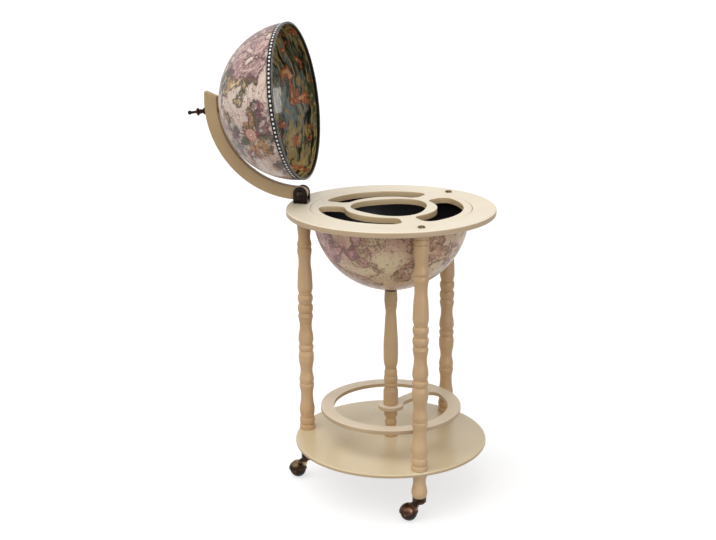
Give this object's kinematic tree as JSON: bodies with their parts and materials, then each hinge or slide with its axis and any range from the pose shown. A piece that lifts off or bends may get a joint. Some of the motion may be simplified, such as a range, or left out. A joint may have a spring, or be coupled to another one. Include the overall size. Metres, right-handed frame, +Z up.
{
  "type": "floor globe bar",
  "caption": "Floor-standing globe bar: lidded globe in a round table on turned legs, with insert, bottle rack, shelf and casters.",
  "frame": {"origin": "on the floor under the middle of the bounding box of the object with its lid open", "axes": "+Z up, -X toward the hinge and the open lid, Y along the hinge pin"},
  "size_m": [0.6768, 0.45, 1.0372],
  "materials": {
    "cream_board": "cream satin paint on board",
    "turned_wood": "cream to tan satin paint on turned wood",
    "globe_print": "varnished print of an old-style map",
    "bronze": "dark antique bronze",
    "dark_iron": "dark brown painted metal",
    "antique_brass": "antique brass",
    "tyre": "black rubber",
    "rim_trim": "grey trim"
  },
  "bodies": {
    "stand": {"table_ring": "cream_board", "insert": "cream_board", "bowl": "globe_print", "bowl_bolt": "bronze", "bowl_seat": "dark_iron", "column_upper": "turned_wood", "column_lower": "turned_wood", "rack": "cream_board", "shelf": "cream_board", "leg_1": "turned_wood", "leg_2": "turned_wood", "leg_3": "turned_wood", "foot_1": "turned_wood", "foot_2": "turned_wood", "foot_3": "turned_wood", "caster_cup_1": "bronze", "caster_cup_2": "bronze", "caster_cup_3": "bronze", "bracket_screw": "dark_iron", "screw_cap_2": "antique_brass", "screw_cap_3": "antique_brass", "hinge_bracket": "dark_iron", "hinge_pin": "dark_iron", "hinge_nut": "dark_iron"},
    "arm": {"arm": "turned_wood", "finial": "bronze", "pole_collar": "antique_brass", "pole_washer": "antique_brass", "pole_nut": "antique_brass"},
    "lid": {"lid": "globe_print", "lid_rim": "rim_trim"},
    "caster_1": {"caster_frame_1": "bronze", "caster_axle_1": "antique_brass"},
    "wheel_1": {"caster_wheel_1": "bronze", "caster_tyre_1": "tyre"},
    "caster_2": {"caster_frame_2": "bronze", "caster_axle_2": "antique_brass"},
    "wheel_2": {"caster_wheel_2": "bronze", "caster_tyre_2": "tyre"},
    "caster_3": {"caster_frame_3": "bronze", "caster_axle_3": "antique_brass"},
    "wheel_3": {"caster_wheel_3": "bronze", "caster_tyre_3": "tyre"}
  },
  "joints": [
    {"name": "lid_hinge", "type": "hinge", "parent": "stand", "child": "arm", "pos_m": [-0.08461, 0, 0.6715], "axis": [0, 1, 0], "range_deg": [0, 97.4]},
    {"name": "lid_spin", "type": "hinge", "parent": "arm", "child": "lid", "pos_m": [-0.08998, 0, 0.87047], "axis": [-0.9917, 0, -0.1288], "continuous": true},
    {"name": "caster_1_swivel", "type": "hinge", "parent": "stand", "child": "caster_1", "pos_m": [-0.08061, 0, 0.05], "axis": [0, 0, 1], "continuous": true},
    {"name": "caster_1_roll", "type": "hinge", "parent": "caster_1", "child": "wheel_1", "pos_m": [-0.10559, 0.00087, 0.01834], "axis": [-0.0349, -0.9994, 0], "continuous": true},
    {"name": "caster_2_swivel", "type": "hinge", "parent": "stand", "child": "caster_2", "pos_m": [0.21039, -0.16801, 0.05], "axis": [0, 0, 1], "continuous": true},
    {"name": "caster_2_roll", "type": "hinge", "parent": "caster_2", "child": "wheel_2", "pos_m": [0.18625, -0.16154, 0.01834], "axis": [-0.2588, -0.9659, 0], "continuous": true},
    {"name": "caster_3_swivel", "type": "hinge", "parent": "stand", "child": "caster_3", "pos_m": [0.21039, 0.16801, 0.05], "axis": [0, 0, 1], "continuous": true},
    {"name": "caster_3_roll", "type": "hinge", "parent": "caster_3", "child": "wheel_3", "pos_m": [0.19789, 0.18966, 0.01834], "axis": [-0.866, -0.5, 0], "continuous": true}
  ]
}
